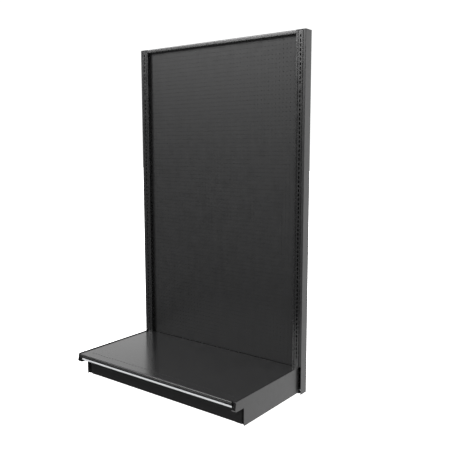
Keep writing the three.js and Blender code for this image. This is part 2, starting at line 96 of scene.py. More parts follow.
def finish_mesh(bm, name, sharp=32):
    """Turns a bmesh in millimetres into an object in metres, smooth but for its sharp edges."""
    bmesh.ops.remove_doubles(bm, verts=bm.verts, dist=1e-4)
    bmesh.ops.recalc_face_normals(bm, faces=bm.faces)
    bmesh.ops.scale(bm, vec=(MM, MM, MM), verts=bm.verts)
    mesh = bpy.data.meshes.new(name)
    bm.to_mesh(mesh)
    bm.free()
    for polygon in mesh.polygons:
        polygon.use_smooth = True
    mesh.set_sharp_from_angle(angle=math.radians(sharp))
    obj = bpy.data.objects.new(name, mesh)
    bpy.context.scene.collection.objects.link(obj)
    return obj


def rounded_line(points, radius):
    """Points and directions along an open line, its corners rounded all alike or one by one."""
    line = [Vector(p) for p in points]
    radii = radius if isinstance(radius, tuple) else (radius,) * (len(line) - 2)
    out = [(line[0], (line[1] - line[0]).normalized())]
    for before, corner, after, radius in zip(line, line[1:], line[2:], radii):
        a, b = (corner - before).normalized(), (after - corner).normalized()
        turn = a.angle_signed(b)
        if abs(turn) < 1e-3:
            continue
        trim = radius * math.tan(abs(turn) / 2)
        side = -1 if turn > 0 else 1
        normal = Vector((-a.y, a.x)) * side
        centre = corner - a * trim + normal * radius
        steps = max(2, round(abs(turn) / math.radians(18)))
        for i in range(steps + 1):
            angle = side * abs(turn) * i / steps
            spin = Matrix.Rotation(angle, 2)
            out.append((centre - spin @ (normal * radius), spin @ a))
    out.append((line[-1], (line[-1] - line[-2]).normalized()))
    return out


def centred(points, thickness):
    """The middle line of a sheet whose one face is the given line, the sheet lying to its left."""
    line = [Vector(p) for p in points]
    out = []
    for i, point in enumerate(line):
        a = (point - line[i - 1]) if i else (line[1] - point)
        b = (line[i + 1] - point) if i < len(line) - 1 else a
        na = Vector((-a.y, a.x)).normalized()
        nb = Vector((-b.y, b.x)).normalized()
        out.append(point + (na + nb) * (thickness / 2 / (1 + na.dot(nb))))
    return out


def rolled(name, points, thickness, axis, span, radius=BEND):
    """A folded sheet: a line with rounded bends, given thickness and pulled along an axis."""
    sheet = abs(thickness)
    line = rounded_line(centred(points, thickness), radius)
    bm = bmesh.new()
    rings = []
    for w in span:
        left = [p + Vector((-d.y, d.x)) * sheet / 2 for p, d in line]
        right = [p - Vector((-d.y, d.x)) * sheet / 2 for p, d in line]
        rings.append([[bm.verts.new(axis_point(axis, p.x, p.y, w)) for p in s] for s in (left, right)])
    (l0, r0), (l1, r1) = rings
    for i in range(len(line) - 1):
        bm.faces.new((l0[i], l0[i + 1], l1[i + 1], l1[i]))
        bm.faces.new((r0[i + 1], r0[i], r1[i], r1[i + 1]))
        bm.faces.new((l0[i + 1], l0[i], r0[i], r0[i + 1]))
        bm.faces.new((l1[i], l1[i + 1], r1[i + 1], r1[i]))
    for i in (0, -1):
        bm.faces.new((l0[i], l1[i], r1[i], r0[i]))
    return finish_mesh(bm, name)


def prism(name, outline, axis, span, bevel=0.0):
    """A closed 2-D outline pulled along an axis, its edges softened by a bevel."""
    bm = bmesh.new()
    ends = [[bm.verts.new(axis_point(axis, u, v, w)) for u, v in outline] for w in span]
    bm.faces.new(ends[0])
    bm.faces.new(list(reversed(ends[1])))
    for i in range(len(outline)):
        j = (i + 1) % len(outline)
        bm.faces.new((ends[0][j], ends[0][i], ends[1][i], ends[1][j]))
    bmesh.ops.recalc_face_normals(bm, faces=bm.faces)
    if bevel:
        bmesh.ops.bevel(
            bm, geom=bm.edges[:], offset=bevel, segments=2, profile=0.5, affect="EDGES",
            clamp_overlap=True,
        )
    return finish_mesh(bm, name)


def block(name, xs, ys, zs, bevel=0.6):
    corners = [(xs[0], ys[0]), (xs[1], ys[0]), (xs[1], ys[1]), (xs[0], ys[1])]
    return prism(name, corners, "Z", zs, bevel)


def turned(name, profile, x, y, segments=48):
    """A surface of revolution about the vertical through (x, y)."""
    bm = bmesh.new()
    rings = []
    for r, z in profile:
        count = 1 if r == 0 else segments
        angles = [2 * math.pi * i / segments for i in range(count)]
        rings.append([bm.verts.new((x + r * math.cos(a), y + r * math.sin(a), z)) for a in angles])
    for low, high in zip(rings, rings[1:]):
        for i in range(segments):
            j = (i + 1) % segments
            corners = [low[i % len(low)], low[j % len(low)]]
            corners += [high[j % len(high)], high[i % len(high)]]
            bm.faces.new(list(dict.fromkeys(corners)))
    return finish_mesh(bm, name)


def carve(obj, *tools, operation="DIFFERENCE"):
    """Cuts tools out of obj, or joins them to it, and removes the tools."""
    for tool in tools:
        modifier = obj.modifiers.new("carve", "BOOLEAN")
        modifier.operation = operation
        modifier.solver = "EXACT"
        modifier.object = tool
    graph = bpy.context.evaluated_depsgraph_get()
    mesh = bpy.data.meshes.new_from_object(obj.evaluated_get(graph))
    obj.modifiers.clear()
    obj.data = mesh
    for polygon in mesh.polygons:
        polygon.use_smooth = True
    mesh.set_sharp_from_angle(angle=math.radians(32))
    for tool in tools:
        bpy.data.objects.remove(tool)
    return obj


def many(name, makers):
    """One object that holds several separate closed shapes."""
    bm = bmesh.new()
    for obj in makers:
        bm.from_mesh(obj.data)
        bpy.data.objects.remove(obj)
    bmesh.ops.scale(bm, vec=(1 / MM,) * 3, verts=bm.verts)
    return finish_mesh(bm, name)


def arc_points(u, v, radius, start, end, steps=8):
    """Points along an arc of a 2-D outline; the angles are in degrees."""
    span = math.radians(end - start)
    return [(u + radius * math.cos(math.radians(start) + span * i / steps),
             v + radius * math.sin(math.radians(start) + span * i / steps)) for i in range(steps + 1)]


def slot_outline(width, height, radius, x, z):
    """A rectangle with rounded corners, in X and Z."""
    points = []
    for sx, sz, start in ((1, 1, 0), (-1, 1, 90), (-1, -1, 180), (1, -1, 270)):
        for step in range(4):
            a = math.radians(start + 30 * step)
            cx = x + sx * (width / 2 - radius)
            cz = z + sz * (height / 2 - radius)
            points.append((cx + radius * math.cos(a), cz + radius * math.sin(a)))
    return points


# ---- materials ----
def new_material(name):
    material = bpy.data.materials.new(name)
    material.use_nodes = True
    tree = material.node_tree
    return material, tree, tree.nodes["Principled BSDF"]


def add_node(tree, kind, **values):
    node = tree.nodes.new(kind)
    for key, value in values.items():
        if key in node.inputs:
            node.inputs[key].default_value = value
        else:
            setattr(node, key, value)
    return node


def object_noise(tree, scale, detail=2.0, stretch=None):
    """Noise over the object's own coordinates; scale is in cycles per metre."""
    coords = add_node(tree, "ShaderNodeTexCoord")
    mapping = add_node(tree, "ShaderNodeMapping")
    if stretch:
        mapping.inputs["Scale"].default_value = stretch
    noise = add_node(tree, "ShaderNodeTexNoise", Scale=scale, Detail=detail)
    tree.links.new(coords.outputs["Object"], mapping.inputs["Vector"])
    tree.links.new(mapping.outputs["Vector"], noise.inputs["Vector"])
    return noise


def remap(tree, source, low, high):
    """Spreads the middle of a noise's range over low to high."""
    node = add_node(tree, "ShaderNodeMapRange")
    node.inputs["From Min"].default_value = 0.3
    node.inputs["From Max"].default_value = 0.7
    node.inputs["To Min"].default_value = low
    node.inputs["To Max"].default_value = high
    tree.links.new(source, node.inputs["Value"])
    return node.outputs["Result"]


def tinted(tree, factor, dark, light):
    """A colour between dark and light, by the factor."""
    mix = add_node(tree, "ShaderNodeMix", data_type="RGBA")
    mix.inputs["A"].default_value = (*dark, 1)
    mix.inputs["B"].default_value = (*light, 1)
    tree.links.new(factor, mix.inputs["Factor"])
    return mix.outputs["Result"]


def vary_tone(tree, shader, noise, colour, spread):
    """Base colour that drifts darker and lighter by the given share."""
    dark = [c * (1 - spread) for c in colour]
    light = [c * (1 + spread) for c in colour]
    mixed = tinted(tree, remap(tree, noise.outputs["Fac"], 0, 1), dark, light)
    tree.links.new(mixed, shader.inputs["Base Color"])


def vary_gloss(tree, shader, noise, roughness, spread):
    """Roughness that drifts by the given share."""
    uneven = remap(tree, noise.outputs["Fac"], roughness * (1 - spread), roughness * (1 + spread))
    tree.links.new(uneven, shader.inputs["Roughness"])


def raise_grain(tree, shader, noise, strength, distance):
    """Fine relief; distance is in metres."""
    bump = add_node(tree, "ShaderNodeBump", Strength=strength, Distance=distance)
    tree.links.new(noise.outputs["Fac"], bump.inputs["Height"])
    tree.links.new(bump.outputs["Normal"], shader.inputs["Normal"])


def powder_coat(name, colour, roughness, level=0.5, peel=0.06):
    """Baked powder paint: faint cloudy tone, orange peel in the film, uneven gloss."""
    material, tree, shader = new_material(name)
    vary_tone(tree, shader, object_noise(tree, 5.0, 3.0), colour, 0.07)
    vary_gloss(tree, shader, object_noise(tree, 38.0, 4.0), roughness, 0.12)
    raise_grain(tree, shader, object_noise(tree, 650.0, 2.0), peel, 0.0004)
    shader.inputs["Specular IOR Level"].default_value = level
    return material


def hardboard(name, colour, roughness, level=0.35):
    """Painted hardboard: a rolled film over pressed fibre, slightly streaked up and down."""
    material, tree, shader = new_material(name)
    streaks = object_noise(tree, 30.0, 4.0, stretch=(1.0, 1.0, 0.12))
    vary_tone(tree, shader, streaks, colour, 0.08)
    vary_gloss(tree, shader, object_noise(tree, 22.0, 3.0), roughness, 0.1)
    raise_grain(tree, shader, object_noise(tree, 420.0, 4.0), 0.08, 0.0005)
    shader.inputs["Specular IOR Level"].default_value = level
    return material


def plastic(name, colour, roughness, grain):
    """Moulded or extruded plastic with a fine grain and slightly uneven gloss."""
    material, tree, shader = new_material(name)
    vary_tone(tree, shader, object_noise(tree, 12.0, 2.0), colour, 0.05)
    vary_gloss(tree, shader, object_noise(tree, 60.0, 3.0), roughness, 0.1)
    raise_grain(tree, shader, object_noise(tree, 900.0, 2.0), grain, 0.0002)
    return material


def zinc_plate(name):
    """Bright zinc with the cloudy spangle of a plating bath."""
    material, tree, shader = new_material(name)
    coords = add_node(tree, "ShaderNodeTexCoord")
    cells = add_node(tree, "ShaderNodeTexVoronoi", Scale=220.0)
    tree.links.new(coords.outputs["Object"], cells.inputs["Vector"])
    mixed = tinted(tree, cells.outputs["Distance"], (0.42, 0.43, 0.45), (0.62, 0.63, 0.64))
    tree.links.new(mixed, shader.inputs["Base Color"])
    wear = object_noise(tree, 90.0, 3.0)
    tree.links.new(remap(tree, wear.outputs["Fac"], 0.26, 0.42), shader.inputs["Roughness"])
    shader.inputs["Metallic"].default_value = 1.0
    return material


LOOKS = {
    "frame_paint": powder_coat("frame_paint", (0.01, 0.01, 0.0103), 0.26, level=0.8, peel=0.03),
    # trim_paint is the unit's one dark paint made lighter: on the end trims that lighter colour partly
    # is painted light standing in for the light from the right
    "trim_paint": powder_coat("trim_paint", (0.018, 0.018, 0.0185), 0.34, peel=0.03),
    "panel_board": hardboard("panel_board", (0.014, 0.014, 0.0144), 0.45),
    "deck_paint": powder_coat("deck_paint", (0.014, 0.014, 0.0144), 0.2, level=0.3, peel=0.03),
    # dark_paint is the same paint made darker: on the kick plate, set back under the deck's nose, the
    # darker colour partly is painted shade
    "dark_paint": powder_coat("dark_paint", (0.006, 0.006, 0.0062), 0.35),
    "zinc": zinc_plate("zinc"),
    "black_plastic": plastic("black_plastic", (0.003, 0.003, 0.0031), 0.45, 0.1),
    "white_plastic": plastic("white_plastic", (0.47, 0.48, 0.49), 0.35, 0.03),
}


def dress(obj, body, slot, *nodes):
    """Gives a piece even shading, its material and its body, and hides the CAD nodes it replaces."""
    weigh = obj.modifiers.new("even_shading", "WEIGHTED_NORMAL")
    weigh.keep_sharp = True
    graph = bpy.context.evaluated_depsgraph_get()
    shaded = bpy.data.meshes.new_from_object(obj.evaluated_get(graph))
    obj.modifiers.clear()
    obj.data = shaded
    obj.data.materials.clear()
    obj.data.materials.append(LOOKS[slot])
    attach(obj, body)
    if nodes:
        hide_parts(*nodes)
    return obj


# ---- uprights ----
def rounded_rect(xs, ys, radius, steps=5):
    points = []
    centres = ((xs[1], ys[1], 0), (xs[0], ys[1], 90), (xs[0], ys[0], 180), (xs[1], ys[0], 270))
    for x, y, start in centres:
        cx = x - radius if x == xs[1] else x + radius
        cy = y - radius if y == ys[1] else y + radius
        for i in range(steps + 1):
            a = math.radians(start + 90 * i / steps)
            points.append((cx + radius * math.cos(a), cy + radius * math.sin(a)))
    return points


def tube(name, xs, ys, zs, wall, radius):
    """A rectangular tube with rounded corners, open at both ends."""
    outer = rounded_rect(xs, ys, radius)
    inner_xs, inner_ys = (xs[0] + wall, xs[1] - wall), (ys[0] + wall, ys[1] - wall)
    inner = rounded_rect(inner_xs, inner_ys, radius - wall * 0.6)
    bm = bmesh.new()
    rings = [[[bm.verts.new((u, v, z)) for u, v in line] for line in (outer, inner)] for z in zs]
    (o0, i0), (o1, i1) = rings
    for a in range(len(outer)):
        b = (a + 1) % len(outer)
        bm.faces.new((o0[a], o0[b], o1[b], o1[a]))
        bm.faces.new((i0[b], i0[a], i1[a], i1[b]))
        bm.faces.new((o0[b], o0[a], i0[a], i0[b]))
        bm.faces.new((o1[a], o1[b], i1[b], i1[a]))
    return finish_mesh(bm, name)


def make_upright(name, side):
    node = f"upright_{name}"
    xs, ys, zs = limits(node)
    body = tube(node + "_tube", xs, ys, zs, 2.0, 2.6)
    x = (xs[0] + xs[1]) / 2
    rows = [r for r in range(SLOT_ROWS) if r != BLANK_ROW] + list(BRACKET_ROWS)
    slots = []
    for row in rows:
        outline = slot_outline(SLOT_WIDTH, SLOT_HEIGHT, 1.4, x, SLOT_TOP_Z - row * INCH)
        slots.append(prism(f"slot_{row}", outline, "Y", (ys[0] - 2, ys[0] + 4)))
    tab_y = limits("mid_rail_lower")[1][0]
    inner = xs[0] if side > 0 else xs[1]
    tabs = []
    for rail_z in TAB_HEIGHTS:
        near, far = tab_y - 1, tab_y + 2.5
        outline = [(near, rail_z - 10), (far, rail_z - 10), (far, rail_z + 13), (near, rail_z + 13)]
        tabs.append(prism(f"tab_slot_{rail_z}", outline, "X", (inner - 3, inner + 3)))
    carve(body, many("slot_tools", slots), many("tab_tools", tabs))
    dress(body, "frame", "frame_paint", node)


def make_cap(name):
    node = f"upright_cap_{name}"
    xs, ys, zs = limits(node)
    lid = block(node + "_lid", xs, ys, (zs[1] - 3, zs[1]), 0.9)
    post = limits(f"upright_{name}")
    inset = 2.6
    plug = block(
        node + "_plug", (post[0][0] + inset, post[0][1] - inset),
        (post[1][0] + inset, post[1][1] - inset), (zs[0], zs[1] - 1), 1.0,
    )
    cap = carve(lid, plug, operation="UNION")
    dress(cap, "frame", "black_plastic", node)


# ---- trims beside the uprights ----
def make_end_trim(name, side):
    node = f"upright_end_trim_{name}"
    xs, ys, zs = limits(node)
    outer = xs[1] if side > 0 else xs[0]
    post = limits(f"upright_{name}")[0]
    post_outer = post[1] if side > 0 else post[0]
    post_mid = (post[0] + post[1]) / 2
    path = [
        (post_outer + side * GAP, ys[0] + 16), (post_outer + side * GAP, ys[0] + 2.4),
        (post_outer + side * 1.7, ys[0]), (outer, ys[0]),
        (outer, ys[1]), (post_mid + side * 2, ys[1]),
    ]
    cover = rolled(node + "_cover", path, side * SHEET, "Z", zs, radius=1.2)
    relief = block(
        "relief", sorted((post_outer - side * 2, outer - side * SHEET)),
        (ys[0] - 1, ys[0] + 18), (-2, TRIM_RELIEF_TOP), 0,
    )
    carve(cover, relief)
    dress(cover, "frame", "trim_paint", node)


def make_side_strip(name, side):
    node = f"panel_side_strip_{name}"
    xs, ys, zs = limits(node)
    post = limits(f"upright_{name}")[0]
    post_inner = post[0] if side > 0 else post[1]
    inner = xs[0] if side > 0 else xs[1]
    path = [
        (post_inner - side * GAP, ys[0] + 16), (post_inner - side * GAP, ys[0] + 2.4),
        (post_inner - side * 1.7, ys[0]), (inner, ys[0]),
        (inner, ys[1]), (post_inner - side * 0.9, ys[1]),
    ]
    strip = rolled(node + "_fold", path, -side * SHEET, "Z", zs, radius=1.2)
    dress(strip, "frame", "frame_paint", node)


# ---- back panel ----
PEG_HOLE = 2.4  # radius
PEG_DEPTH = 2.5


def make_panel():
    """Board with small blind holes on a 1 in grid, each in its own ring of faces."""
    xs, ys, zs = limits("back_panel")
    columns = int((xs[1] - xs[0]) / INCH) - 1
    rows = int((zs[1] - zs[0]) / INCH) - 1
    first_x = -(columns - 1) / 2 * INCH
    first_z = (zs[0] + zs[1]) / 2 - (rows - 1) / 2 * INCH
    x_edges = [xs[0]] + [first_x + (i - 0.5) * INCH for i in range(1, columns)] + [xs[1]]
    z_edges = [zs[0]] + [first_z + (i - 0.5) * INCH for i in range(1, rows)] + [zs[1]]
    floor_y = ys[0] + PEG_DEPTH
    bm = bmesh.new()
    grid = {}

    def vertex(x, y, z):
        key = (round(x, 3), round(y, 3), round(z, 3))
        if key not in grid:
            grid[key] = bm.verts.new((x, y, z))
        return grid[key]

    for c in range(columns):
        for r in range(rows):
            x0, x1, z0, z1 = x_edges[c], x_edges[c + 1], z_edges[r], z_edges[r + 1]
            hx, hz = first_x + c * INCH, first_z + r * INCH
            border = [(x1, hz), (x1, z1), (hx, z1), (x0, z1),
                      (x0, hz), (x0, z0), (hx, z0), (x1, z0)]
            rim = [(hx + PEG_HOLE * math.cos(a), hz + PEG_HOLE * math.sin(a))
                   for a in (math.pi / 4 * k for k in range(8))]
            for k in range(8):
                n = (k + 1) % 8
                near = [vertex(rim[i][0], ys[0], rim[i][1]) for i in (k, n)]
                deep = [vertex(rim[i][0], floor_y, rim[i][1]) for i in (k, n)]
                outer = [vertex(border[i][0], ys[0], border[i][1]) for i in (k, n)]
                bm.faces.new((outer[0], outer[1], near[1], near[0]))
                bm.faces.new((near[0], near[1], deep[1], deep[0]))
            bm.faces.new([vertex(u, floor_y, v) for u, v in rim])
    back = {}
    for edge in [e for e in bm.edges if e.is_boundary]:
        for vert in edge.verts:
            if vert not in back:
                back[vert] = bm.verts.new((vert.co.x, ys[1], vert.co.z))
        a, b = edge.verts
        bm.faces.new((a, b, back[b], back[a]))
    around = sorted(back.values(), key=lambda v: math.atan2(
        v.co.z - (zs[0] + zs[1]) / 2, v.co.x - (xs[0] + xs[1]) / 2))
    bm.faces.new(around)
    board = finish_mesh(bm, "back_panel_board")
    dress(board, "frame", "panel_board", "back_panel")


# ---- rails ----
def with_tabs(rail, half, y, z):
    tabs = [
        block(f"tab_{s}", sorted((s * (half - 20), s * (half + 7.9))),
              (y, y + SHEET), (z - 9, z + 9), 0.3)
        for s in (-1, 1)
    ]
    return carve(rail, *tabs, operation="UNION")


def make_top_rail():
    _, ys, zs = limits("top_rail")
    panel = limits("back_panel")
    strip = limits("panel_side_strip_right")[0]
    half = strip[0] - GAP
    lip = panel[1][0] - GAP
    low = zs[1] - RAIL_FACE
    path = [(lip, zs[1] - 6), (lip, low), (ys[0], low), (ys[0], zs[1]), (ys[1], zs[1]), (ys[1], zs[0])]
    radii = (TIGHT_BEND, TIGHT_BEND, RAIL_EDGE, TIGHT_BEND)
    rail = rolled("top_rail_fold", path, -SHEET, "X", (-half, half), radius=radii)
    rail = with_tabs(rail, panel[0][1], ys[1] - SHEET, TAB_HEIGHTS[0])
    dress(rail, "frame", "frame_paint", "top_rail")


def make_mid_rail(which):
    node = f"mid_rail_{which}"
    _, ys, zs = limits(node)
    half = limits("back_panel")[0][1]
    path = [(ys[1], zs[1] - 10), (ys[1], zs[1]), (ys[0], zs[1])]
    path += [(ys[0], zs[0]), (ys[1], zs[0]), (ys[1], zs[0] + 10)]
    rail = rolled(node + "_fold", path, SHEET, "X", (-half, half))
    rail = with_tabs(rail, half, ys[0], (zs[0] + zs[1]) / 2)
    dress(rail, "frame", "frame_paint", node)


def make_bottom_rail():
    _, ys, zs = limits("bottom_rail")
    panel = limits("back_panel")
    half = panel[0][1]
    back = limits("mid_rail_lower")[1][0]
    angle = [(ys[1], zs[0]), (back, zs[0]), (back, zs[1])]
    web = rolled("bottom_rail_fold", angle, -SHEET, "X", (-half, half))
    seat = panel[2][0] - GAP
    lip = panel[1][0] - GAP
    hook = [(back + 1, seat), (lip, seat), (lip, seat + 20)]
    cradle = rolled("cradle", hook, SHEET, "X", (-half, half))
    rail = carve(web, cradle, operation="UNION")
    rail = with_tabs(rail, half, back, TAB_HEIGHTS[-1])
    dress(rail, "frame", "frame_paint", "bottom_rail")


# ---- deck ----
DECK_HOLE = 2.2  # radius
DECK_HOLE_SETBACK = 60.5  # behind the lip


def make_deck():
    """Pan with a rolled nose, a folded lip, end flanges and a row of small rimmed holes."""
    xs, ys, zs = limits("base_deck")
    under = limits("base_bracket_right")[2][1] + GAP
    top = under + SHEET
    notch = limits("panel_side_strip_right")[0][0] - 1
    channel = limits("price_channel")
    lip_y = channel[1][1] + GAP
    corner = limits("upright_right")[1][0] - 1
    half = xs[1]
    front = rolled(
        "base_deck_pan", [(lip_y + 13.5, zs[0]), (lip_y, zs[0]), (lip_y, top), (corner, top)],
        -SHEET, "X", (-half, half), radius=2.0,
    )
    rear_path = [(corner - 30, top), (ys[1], top), (ys[1], top - 24)]
    rear = rolled("rear", rear_path, -SHEET, "X", (-notch, notch), radius=2.0)
    ends = []
    for side in (-1, 1):
        path = [(side * (half - 30), top), (side * half, top), (side * half, top - 18)]
        span = (lip_y + 2.5, corner)
        ends.append(rolled(f"end_{side}", path, -side * SHEET, "Y", span, radius=TIGHT_BEND))
    lip_back = lip_y + SHEET
    outline = [(lip_back, NOSE_Z - NOSE_RADIUS)]
    outline += arc_points(lip_back - NOSE_RADIUS, NOSE_Z, NOSE_RADIUS, 0, 90, 8)
    outline += arc_points(ys[0] + NOSE_RADIUS, NOSE_Z, NOSE_RADIUS, 90, 270, 16)
    roll = prism("roll", outline, "X", channel[0])
    deck = carve(front, rear, *ends, roll, operation="UNION")
    hole_y = lip_y + DECK_HOLE_SETBACK
    count = int(channel[0][1] / INCH)
    holes, rims = [], []
    for i in range(-count + 1, count):
        ring = [(i * INCH + DECK_HOLE * math.cos(a), hole_y + DECK_HOLE * math.sin(a))
                for a in (math.pi / 8 * k for k in range(16))]
        holes.append(prism(f"hole_{i}", ring, "Z", (under - 2, top + 2)))
        collar = [(0, under + 0.2), (4.8, under + 0.2), (4.8, top), (4.0, top + 0.6),
                  (3.2, top + 1.0), (2.7, top + 1.1), (0, top + 1.1)]
        rims.append(turned(f"rim_{i}", collar, i * INCH, hole_y, 16))
    carve(deck, many("hole_rims", rims), operation="UNION")
    carve(deck, many("hole_tools", holes))
    dress(deck, "deck", "deck_paint", "base_deck")


def make_stiffener(place):
    node = f"deck_stiffener_{place}"
    xs, ys, zs = limits(node)
    rim, low = zs[1], zs[0] + SHEET
    y0, y1 = ys
    path = [(y0, rim), (y0 + 18, rim), (y0 + 24, low), (y1 - 24, low), (y1 - 18, rim), (y1, rim)]
    hat = rolled(node + "_hat", path, -SHEET, "X", xs)
    dress(hat, "deck", "deck_paint", node)


def make_price_channel():
    xs, ys, zs = limits("price_channel")
    y0, y1 = ys
    z0, z1 = zs
    path = [(y0, 143.9), (y0, z1), (y1, z1), (y1, z0), (y0, z0), (y0, 132.6)]
    channel = rolled("price_channel_extrusion", path, -1.2, "X", xs, radius=0.9)
    dress(channel, "deck", "black_plastic", "price_channel")
    strip = block("price_insert_strip", *limits("price_insert"), bevel=0.2)
    dress(strip, "deck", "white_plastic", "price_insert")


# ---- base ----
def make_base_end_trim(name, side):
    """Side cover: its nose leans forward to a rounded lower corner with a tab under the lip."""
    node = f"base_end_trim_{name}"
    xs, ys, zs = limits(node)
    outer = xs[1] if side > 0 else xs[0]
    notch_y = -271.0
    bottom, radius = 112.0, 12.0
    centre = (ys[0] + radius, bottom + radius)
    outline = [(ys[1], zs[0]), (ys[1], zs[1] - 2)]
    outline += arc_points(ys[1] - 2, zs[1] - 2, 2, 0, 90, 4)
    outline += arc_points(ys[0] + 11.5, zs[1] - 3, 3, 90, 170, 5)
    outline += arc_points(*centre, radius, 180, 270, 12)
    outline += [(notch_y - 3, bottom)]
    outline += arc_points(notch_y - 3, bottom - 3, 3, 90, 0, 4)
    outline += arc_points(notch_y + 3, zs[0] + 3, 3, 180, 270, 4)
    skin = prism(node + "_skin", outline, "X", sorted((outer, outer - side * SHEET)), 0.35)
    rear = centre[0] + 30
    curl = arc_points(*centre, radius - 0.3, 213, 270)
    curl += [(rear, bottom + 0.3), (rear, bottom + 1.8)]
    curl += arc_points(*centre, radius - 1.8, 270, 213)
    tab = prism("curl", curl, "X", sorted((outer - side * 0.8, side * 598)))
    hem = block(
        "hem", sorted((outer - side * 0.8, side * 611.4)), (notch_y + 14, ys[1] - 3.7),
        (zs[0], zs[0] + SHEET), 0,
    )
    cover = carve(skin, tab, hem, operation="UNION")
    dress(cover, "frame", "trim_paint", node)


def make_base_bracket(name, side):
    """Notched side plate with turned flanges and three hooks for the upright's slots."""
    node = f"base_bracket_{name}"
    _, ys, zs = limits(node)
    mid = side * 24 * INCH
    plate_x = sorted((mid - 1.5, mid + 1.5))
    flange_x = sorted((mid + side * 1.5, mid - side * 26.5))
    foot_x = sorted((mid + side * 1.5, mid - side * 36.5))
    face = limits("upright_right")[1][0]
    back, toe, nose = face - GAP, face - 536, ys[0]
    step, low, top = 122.0, zs[0], zs[1]
    outline = [(back, low + 8), (back, top)]
    outline += arc_points(nose + 3, top - 3, 3, 90, 180, 4)
    outline += arc_points(nose + 3, step + 3, 3, 180, 270, 4)
    outline += [(toe, step), (toe, low), (toe + 90, low), (toe + 120, low + 8)]
    plate = prism(node + "_plate", outline, "X", plate_x, 0.4)
    parts = [
        block("top_flange", flange_x, (nose + 1, back - 20), (top - SHEET, top), 0.4),
        block("front_flange", flange_x, (toe, toe + SHEET), (low, step - 10), 0.4),
        block("foot_flange", foot_x, (toe, toe + 74), (low, low + 3), 0.5),
    ]
    for row in BRACKET_ROWS:
        seat = SLOT_TOP_Z - row * INCH - SLOT_HEIGHT / 2 + GAP
        hook = [(back - 1, seat), (face + 2.3, seat), (face + 2.3, seat - 4.5), (face + 3.3, seat - 6),
                (face + 5.3, seat - 6), (face + 6.3, seat - 4.5), (face + 6.3, seat + 9),
                (face + 4.3, seat + 11), (back - 1, seat + 11)]
        parts.append(prism(f"hook_{row}", hook, "X", plate_x, 0.3))
    bracket = carve(plate, *parts, operation="UNION")
    x, y = middle(f"leveler_stud_{name}_front")
    bore = stud_bore(x, y, low - 1, low + 9)
    slot = block("hook_slot", sorted((side * 590.5, side * 599.5)), (toe - 1, toe + 3), (56, 88), 0)
    dress(carve(bracket, bore, slot), "frame", "dark_paint", node)


def make_clips(name, side):
    """Spring clips of strip steel behind the two outer covers."""
    for level in ("upper", "lower"):
        node = f"upright_trim_clip_{name}_{level}"
        xs, ys, zs = limits(node)
        inner, outer = (xs[0], xs[1]) if side > 0 else (xs[1], xs[0])
        path = [(inner, ys[1]), (inner, ys[0]), (outer, ys[0]), (outer, ys[1])]
        clip = rolled(node + "_strip", path, side * SHEET, "Z", zs, radius=TIGHT_BEND)
        dress(clip, "frame", "zinc", node)
    for end_name in ("front", "rear"):
        node = f"base_trim_clip_{name}_{end_name}"
        xs, ys, zs = limits(node)
        inner, outer = (xs[0], xs[1]) if side > 0 else (xs[1], xs[0])
        path = [(inner, zs[0]), (inner, zs[1]), (outer, zs[1]), (outer, zs[0])]
        clip = rolled(node + "_strip", path, -side * SHEET, "Y", ys, radius=TIGHT_BEND)
        dress(clip, "frame", "zinc", node)


def stud_bore(x, y, low, high):
    """The cutter for a hole that a leveler stud passes through."""
    return turned("bore", [(0, low), (THREAD_BORE, low), (THREAD_BORE, high), (0, high)], x, y, 24)


def make_foot_plate(name):
    node = f"upright_foot_plate_{name}"
    xs, ys, zs = limits(node)
    plate = block(node + "_steel", xs, ys, zs, 0.5)
    bore = stud_bore(*middle(node), zs[0] - 1, zs[1] + 1)
    dress(carve(plate, bore), "frame", "zinc", node)


def make_kick_hook(name):
    node = f"kick_hook_{name}"
    xs, ys, zs = limits(node)
    front, back = ys
    notch = 56.4
    outline = [(front, zs[0]), (front + 1.4, zs[0]), (front + 1.4, notch), (back - 4, notch),
               (back - 4, zs[0] + 1), (back - 3, zs[0]), (back - 1, zs[0]), (back, zs[0] + 1),
               (back, zs[1] - 3), (back - 3, zs[1]), (front, zs[1])]
    dress(prism(node + "_blade", outline, "X", xs, 0.25), "kick", "dark_paint", node)


KICK_SEAM_X = -302  # the pressed upright line


def make_kick_plate():
    """Folded plate with a wing on each end and one pressed upright line."""
    xs, ys, zs = limits("kick_plate")
    y0 = ys[0]
    path = [(y0 + 9.5, zs[0]), (y0, zs[0]), (y0, zs[1]), (y0 + 11.5, zs[1])]
    plate = rolled("kick_plate_fold", path, -SHEET, "X", (-562, 562), radius=1.8)
    for side in (-1, 1):
        path = [(y0, zs[0]), (y0, zs[1]), (y0 + 11.5, zs[1])]
        wing = rolled("wing", path, -SHEET, "X", sorted((side * 560, side * xs[1])), radius=1.8)
        carve(plate, wing, operation="UNION")
    left, right = KICK_SEAM_X - 2, KICK_SEAM_X + 2
    seam = [(left, y0 - 1), (left, y0 + 0.1), (left + 0.6, y0 + 0.7),
            (right - 0.6, y0 + 0.7), (right, y0 + 0.1), (right, y0 - 1)]
    carve(plate, prism("seam", seam, "Z", (zs[0] + 6, zs[1] - 6)))
    dress(plate, "kick", "dark_paint", "kick_plate")


